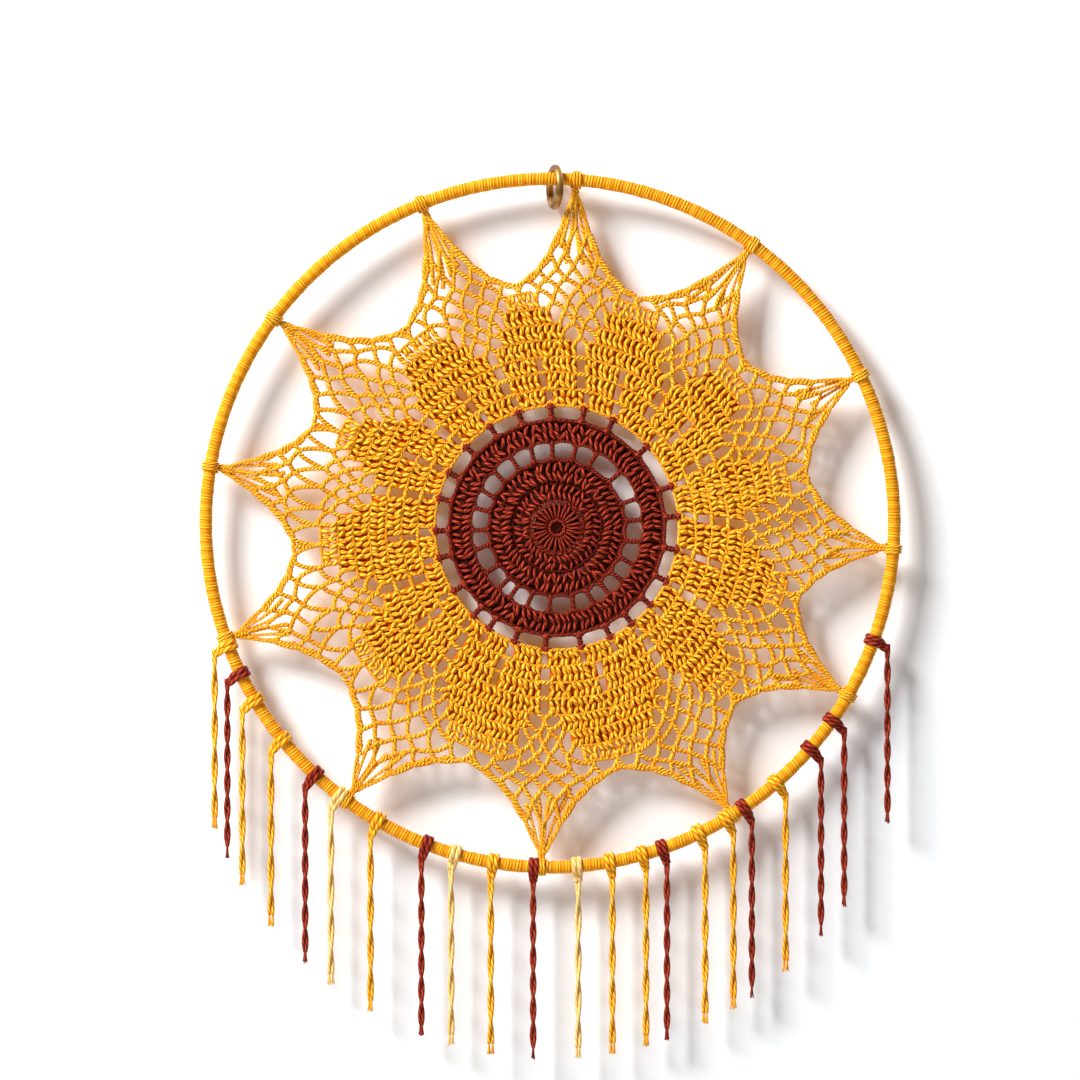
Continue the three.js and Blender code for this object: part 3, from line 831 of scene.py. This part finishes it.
def flower_centre(material):
    work = YarnWork()
    round_chain(work, EYE_RADIUS, 0.3 * MM, pitch=EYE_PITCH, **FINE_CHAIN)
    # Yarn that closes the eye at the back, dark in front as painted shade so that the eye reads as a deep
    # hole.
    shaded_back_yarn(work, flower_place(EYE_BACKING, np.linspace(0, 360, 73), DEEP_FRONT), EYE_BACKING)
    spokes(work)
    round_chain(work, SPOKE_HEAD, -0.3 * MM)
    for foot, head, stitches in SEED_ROUNDS:
        seed_round(work, foot * MM, head * MM, stitches)
    post_chain(work, DISC_RADIUS, 1)
    post_chain(work, RIM_FOOT, -1, 0.2 * MM)
    seed_round(work, RIM_FOOT, RIM_HEAD, RIM_STITCHES)
    post_chain(work, RIM_HEAD + 0.8 * MM, 1)
    for degrees in LADDER_ANGLES:
        lean = chance.normal(0, POST_LEAN, 2)
        chain(work, flower_place((DISC_RADIUS, RIM_FOOT), degrees + lean), **INNER_POST)
        chain(work, flower_place((RIM_HEAD + 0.6 * MM, CENTRE_RADIUS), (degrees, degrees)), **OUTER_POST)
        post_knot(work, degrees, CENTRE_RADIUS, chance.uniform(*OUTER_KNOTS) * MM)
        post_knot(work, degrees, RIM_HEAD + 1.4 * MM, chance.uniform(*INNER_KNOTS) * MM)
    dress(work.make("flower_centre", material), "hoop", "brown_yarn", "seed_centre")


# Hoop
def waves(place, parts):
    """A sum of sine waves, each given by its size, rate and shift."""
    return sum(size * np.sin(place * rate + shift) for size, rate, shift in parts)


def wound_hoop(material):
    """The yarn wound round the hoop, turn beside turn."""
    turns = int(TURN * HOOP_RADIUS / WINDING_PITCH)
    swing = np.arange(turns * WINDING_STEPS + 1) * TURN / WINDING_STEPS
    place = swing / (TURN * turns)
    crowd = waves(place, WINDING_CROWD)
    degrees = -90 + 360 * (place + crowd * WINDING_PITCH / (TURN * HOOP_RADIUS))
    outward = plane_direction(degrees)
    radius = (TUBE_RADIUS - WINDING_YARN[0] + waves(place, WINDING_PROUD))[:, None]
    line = (HOOP_MIDDLE + HOOP_RADIUS * outward
            + radius * (np.cos(swing)[:, None] * outward + np.sin(swing)[:, None] * FRONT))
    shade = WINDING_SHADE + waves(swing / TURN, WINDING_SHADES)
    work = YarnWork()
    work.lay(line, WINDING_YARN, reference=left_of(outward), shade=shade[:, None])
    dress(work.make("wound_yarn", material), "hoop", "winding_yarn", "hoop_winding")


# Fringe
def lark_knot(index, material, slot):
    """A cord folded over the hoop: two turns side by side that gather below the tube."""
    degrees = KNOTS[index][0]
    outward = plane_direction(degrees)
    along = left_of(outward)
    middle = HOOP_MIDDLE + HOOP_RADIUS * outward
    pivot = HOOP_MIDDLE + PIVOT_RADIUS * outward
    work = YarnWork()
    swing = np.radians(np.linspace(*KNOT_SWING, 27))[:, None]
    radius = TUBE_RADIUS + KNOT_LIFT
    droop = KNOT_DROOP * abs(outward[0]) * UP
    for side in (-along, along):
        band = middle + radius * (np.cos(swing) * outward + np.sin(swing) * FRONT) + KNOT_APART * side
        gather_front = middle + GATHER_REACH * outward - droop + GATHER_FRONT * FRONT + GATHER_APART * side
        neck_front = pivot - NECK_DROOP * droop + NECK_FRONT * FRONT + NECK_APART * side
        gather_back, neck_back = (place + 2 * np.dot(middle - place, FRONT) * FRONT
                                  for place in (gather_front, neck_front))
        path = np.concatenate(((neck_front, gather_front), band, (gather_back, neck_back)))
        path, _ = resample(path, KNOT_STEP)
        work.lay(path, KNOT_BAND, reference=along, sides=CORD_SIDES, shade=KNOT_SHADE)
    name = f"{index + 1:02d}"
    dress(work.make(f"lark_knot_{name}", material), "hoop", slot, f"fringe_knot_{name}")


def fringe_cord(index, material, slot):
    """The folded cord's two halves, which hang side by side from their knot and end in cut tufts."""
    degrees, colour = KNOTS[index]
    pivot = HOOP_MIDDLE + PIVOT_RADIUS * plane_direction(degrees)
    down = np.linspace(CORD_START, STRAND_LENGTH - TUFT, 40)
    turn = TURN * down / CORD_LAYS[colour] + chance.uniform(-0.4, 0.4)
    work = YarnWork()
    for half in (0.0, np.pi):
        apart = CORD_APART * np.clip(down / CORD_GATHER, 0.75, 1.0)
        sway = np.stack((np.cos(turn + half), np.sin(turn + half)), axis=1) * apart[:, None]
        line = pivot + np.stack((sway[:, 0], -sway[:, 1], -down), axis=1)
        work.lay(line, CORD_STRAND, sides=CORD_SIDES)
        for fibre in range(TUFT_FIBRES):
            angle = TURN * fibre / TUFT_FIBRES + chance.uniform(0, 1)
            share = column(0, 1, 5)
            spread = (0.4 + 0.75 * share ** 2) * TUFT_SPREAD
            fall = TUFT + chance.uniform(-TUFT_RAGGED, 0)
            tuft = line[-1] + spread * np.array((math.cos(angle), math.sin(angle), 0)) - share * fall * UP
            work.lay(tuft, TUFT_STRAND)
    name = f"{index + 1:02d}"
    piece = work.make(f"fringe_cord_{name}", material)
    dress(piece, f"strand_{name}", slot, f"fringe_strand_{name}")


# Materials
class NodeTree:
    """Adds nodes to a tree. Each input is a value or another node's output."""

    def __init__(self, tree):
        self.nodes = tree.nodes
        self.links = tree.links

    def feed(self, sockets, values):
        for socket, value in zip(sockets, values):
            if isinstance(value, bpy.types.NodeSocket):
                self.links.new(value, socket)
            else:
                socket.default_value = value

    def fill(self, node, **inputs):
        """Gives a node its inputs by name, with an underscore for a space."""
        self.feed([node.inputs[name.replace("_", " ")] for name in inputs], inputs.values())

    def add(self, kind, **inputs):
        node = self.nodes.new(kind)
        self.fill(node, **inputs)
        return node

    def maths(self, operation, *values):
        node = self.nodes.new("ShaderNodeMath")
        node.operation = operation
        self.feed(node.inputs, values)
        return node.outputs[0]

    def mix(self, factor, first, second):
        """A mix of two colours."""
        node = self.nodes.new("ShaderNodeMix")
        node.data_type = "RGBA"
        self.feed((node.inputs["Factor"], node.inputs[6], node.inputs[7]), (factor, first, second))
        return node.outputs[2]

    def noise(self, place, scale, detail):
        return self.add("ShaderNodeTexNoise", Vector=place, Scale=scale, Detail=detail).outputs["Fac"]

    def bump(self, shader, height, strength, distance):
        bump = self.add("ShaderNodeBump", Height=height, Strength=strength, Distance=distance)
        self.fill(shader, Normal=bump.outputs["Normal"])


def new_material(name):
    material = bpy.data.materials.new(name)
    material.use_nodes = True
    return material, NodeTree(material.node_tree)


def opaque(colour):
    return (*colour, 1)


def yarn_group():
    """Plied yarn: strands that twist round the yarn, fine fibres along them, painted shade in the hollows
    and painted highlights on the tops.
    """
    group = bpy.data.node_groups.new("plied_yarn", "ShaderNodeTree")
    for way, kind, names in (("INPUT", "Vector", ("Map", "Place")),
                             ("INPUT", "Float", ("Shade", "Twist")),
                             ("INPUT", "Color", ("Deep", "Body", "Light")),
                             ("OUTPUT", "Color", ("Colour",)),
                             ("OUTPUT", "Float", ("Roughness", "Height"))):
        for name in names:
            group.interface.new_socket(name, in_out=way, socket_type=f"NodeSocket{kind}")
    tree = NodeTree(group)
    given = tree.add("NodeGroupInput").outputs
    split = tree.add("ShaderNodeSeparateXYZ", Vector=given["Map"]).outputs
    around = tree.maths("MULTIPLY", split["X"], YARN_PLIES)
    along = tree.maths("MULTIPLY", split["Y"], given["Twist"])
    phase = tree.maths("MULTIPLY", tree.maths("ADD", around, along), TURN)
    ply = tree.maths("MULTIPLY_ADD", tree.maths("SINE", phase), 0.5, 0.5)
    fibres = tree.noise(given["Place"], FIBRE_SCALE, 3)
    patches = tree.noise(given["Place"], PATCH_SCALE, 2)

    # Painted shade: filled is low in the hollows between the plies and where the shade is low, and there
    # the colour goes to the one for the hollows.
    lit = tree.maths("MINIMUM", tree.maths("MULTIPLY", given["Shade"], 2.6), 1.0)
    filled = tree.maths("MULTIPLY", tree.maths("POWER", ply, 0.6), lit)
    base = tree.mix(filled, given["Deep"], given["Body"])
    # worn is the painted highlight: the tops of the plies take the light colour in patches, the more so
    # the higher the shade.
    worn = tree.maths("MULTIPLY", given["Shade"], tree.maths("ADD", patches, 0.35))
    colour = tree.mix(tree.maths("MULTIPLY", worn, ply), base, given["Light"])
    roughness = tree.maths("MULTIPLY_ADD", fibres, 0.25, 0.4)
    height = tree.maths("ADD", ply, tree.maths("MULTIPLY", fibres, 0.5))
    tree.add("NodeGroupOutput", Colour=colour, Roughness=roughness, Height=height)
    return group


def yarn_material(name, group, twist=YARN_TWIST):
    material, tree = new_material(name)
    # deep is the painted shade colour and light the painted highlight colour
    deep, body, light, gleam = (opaque(colour) for colour in YARN_COLOURS[name])
    yarn_map = tree.add("ShaderNodeUVMap")
    yarn_map.uv_map = "yarn"
    place = tree.add("ShaderNodeTexCoord").outputs["Object"]
    shade = tree.add("ShaderNodeAttribute")
    shade.attribute_name = "shade"
    look = tree.add("ShaderNodeGroup")
    look.node_tree = group
    tree.fill(look, Map=yarn_map.outputs["UV"], Place=place, Shade=shade.outputs["Fac"],
              Deep=deep, Body=body, Light=light, Twist=twist)
    shader = tree.nodes["Principled BSDF"]
    tree.bump(shader, look.outputs["Height"], 0.5, 0.12 * MM)
    tree.fill(shader, Base_Color=look.outputs["Colour"], Roughness=look.outputs["Roughness"],
              Specular_IOR_Level=0.16, Specular_Tint=gleam)
    return material


def metal_material(name, dark, bright, roughness, grain):
    """Handled metal: brighter where it is rubbed, darker in patches."""
    material, tree = new_material(name)
    patches = tree.noise(tree.add("ShaderNodeTexCoord").outputs["Object"], grain, 5)
    tone = tree.add("ShaderNodeValToRGB", Fac=patches)
    for stop, position, colour in zip(tone.color_ramp.elements, (0.35, 0.62), (dark, bright)):
        stop.position = position
        stop.color = opaque(colour)
    rough = tree.add("ShaderNodeMapRange", Value=patches, To_Min=roughness + 0.12, To_Max=roughness - 0.08)
    shader = tree.nodes["Principled BSDF"]
    tree.bump(shader, patches, 0.15, 0.1 * MM)
    tree.fill(shader, Base_Color=tone.outputs["Color"], Roughness=rough.outputs["Result"], Metallic=1.0)
    return material


# Ring
def bronze_ring(material):
    """A ring of bent wire, worn thinner where it rides on the hoop."""
    low, high = (np.array(corner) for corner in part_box("hanging_ring"))
    middle = (low + high) / 2
    turn = math.radians(RING_TURN)
    bpy.ops.object.select_all(action="DESELECT")
    bpy.ops.mesh.primitive_torus_add(major_radius=RING_RADIUS, minor_radius=RING_WIRE, major_segments=72,
                                     minor_segments=20, location=middle, rotation=(0, math.pi / 2, turn))
    ring = bpy.context.active_object
    ring.name = "ring_wire"
    bpy.ops.object.transform_apply(location=True, rotation=True, scale=True)
    axis = np.array((math.cos(turn), math.sin(turn), 0))
    for vertex in ring.data.vertices:
        offset = np.array(vertex.co) - middle
        flat = offset - np.dot(offset, axis) * axis
        seat = middle + RING_RADIUS * unit(flat)
        height = math.atan2(np.dot(flat, np.cross(axis, UP)), flat[2])
        wear = RING_WEAR * math.exp(-(height / RING_WEAR_REACH) ** 2) + RING_BENDS * math.sin(5 * height)
        vertex.co = seat + (1 - wear) * (np.array(vertex.co) - seat)
    bpy.ops.object.shade_smooth()
    ring.data.materials.append(material)
    dress(ring, "ring", "bronze", "hanging_ring")


# Stage
def background_rays(tree):
    """One for the rays that show the background: the camera's, and those that metal or glass sends on."""
    rays = tree.add("ShaderNodeLightPath").outputs
    sent_on = tree.maths("MAXIMUM", rays["Is Glossy Ray"], rays["Is Transmission Ray"])
    return tree.maths("MAXIMUM", rays["Is Camera Ray"], sent_on)


def stage_material(name, colour, sent_on=1.0):
    """A pale matt surface. Seen from behind it is clear, and it stops no light.

    It sends on a share of its light to the object, less than all where shadows are to stay deep.
    """
    material, tree = new_material(name)
    tree.nodes.clear()
    dimmed = opaque(sent_on * part for part in colour)
    tone = tree.mix(background_rays(tree), dimmed, opaque(colour))
    matt = tree.add("ShaderNodeBsdfDiffuse", Color=tone).outputs[0]
    clear = tree.add("ShaderNodeBsdfTransparent").outputs[0]
    behind = tree.add("ShaderNodeNewGeometry").outputs["Backfacing"]
    shadow = tree.add("ShaderNodeLightPath").outputs["Is Shadow Ray"]
    mixed = tree.add("ShaderNodeMixShader")
    tree.feed(mixed.inputs, (tree.maths("MAXIMUM", behind, shadow), matt, clear))
    tree.add("ShaderNodeOutputMaterial", Surface=mixed.outputs[0])
    return material


def stage_plane(name, location, rotation, material):
    bpy.ops.mesh.primitive_plane_add(size=STAGE_SIZE, location=location, rotation=rotation)
    plane = bpy.context.active_object
    plane.name = name
    plane.data.materials.append(material)
    return plane


def build_stage():
    """A pale wall close behind the hoop, and a pale floor below it."""
    bpy.ops.object.select_all(action="DESELECT")
    wall = stage_plane("wall", (0, WALL_GAP, FLOOR_HEIGHT + STAGE_SIZE / 2), (math.pi / 2, 0, 0),
                       stage_material("wall_paint", WALL_PAINT))
    floor = stage_plane("floor", (0, 0, FLOOR_HEIGHT), (0, 0, 0),
                        stage_material("floor_paint", FLOOR_PAINT, FLOOR_SENT_ON))


def aim(holder, target):
    """Turns a lamp or the camera so that it looks at a point."""
    holder.rotation_euler = (Vector(target) - holder.location).to_track_quat("-Z", "Y").to_euler()


def add_lamp(name, location, size, energy):
    lamp = bpy.data.lights.new(name, "AREA")
    lamp.size = size
    lamp.energy = energy
    holder = new_object(name, lamp)
    holder.location = location
    aim(holder, HOOP_MIDDLE)


def build_light():
    for lamp in LAMPS:
        add_lamp(*lamp)
    world = bpy.data.worlds.new("studio")
    world.use_nodes = True
    tree = NodeTree(world.node_tree)
    level = tree.add("ShaderNodeMapRange", Value=background_rays(tree), To_Min=WORLD_LIGHT, To_Max=1.0)
    tree.fill(tree.nodes["Background"], Color=(1, 1, 1, 1), Strength=level.outputs["Result"])
    bpy.context.scene.world = world


def build_camera():
    """Straight in front of the hoop, as far as gives the picture its width there."""
    lens = bpy.data.cameras.new("camera")
    lens.sensor_width = SENSOR_WIDTH
    lens.lens = SENSOR_WIDTH * CAMERA_DISTANCE / VIEW_WIDTH
    camera = new_object("camera", lens)
    camera.location = VIEW_MIDDLE + CAMERA_DISTANCE * FRONT
    aim(camera, VIEW_MIDDLE)
    bpy.context.scene.camera = camera


build_camera()
bpy.context.scene.view_settings.view_transform = "Standard"
build_light()
build_stage()

plied_yarn = yarn_group()
yarns = {
    "yellow": yarn_material("mustard_yarn", plied_yarn),
    "brown": yarn_material("brown_yarn", plied_yarn),
    "cream": yarn_material("cream_yarn", plied_yarn),
}

for number, (_, colour) in enumerate(KNOTS):
    fringe_cord(number, yarns[colour], f"{colour}_yarn")
    lark_knot(number, yarns[colour], f"{colour}_yarn")
wound_hoop(yarn_material("wound_yarn", plied_yarn, WOUND_TWIST))
flower_centre(yarns["brown"])
for number in range(len(TIE_ANGLES)):
    lace(number, yarns["yellow"])
bronze_ring(metal_material("aged_bronze", *BRONZE))
hoop_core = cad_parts["hoop_core"]
hoop_core.data.materials.clear()
hoop_core.data.materials.append(metal_material("steel_wire", *STEEL))
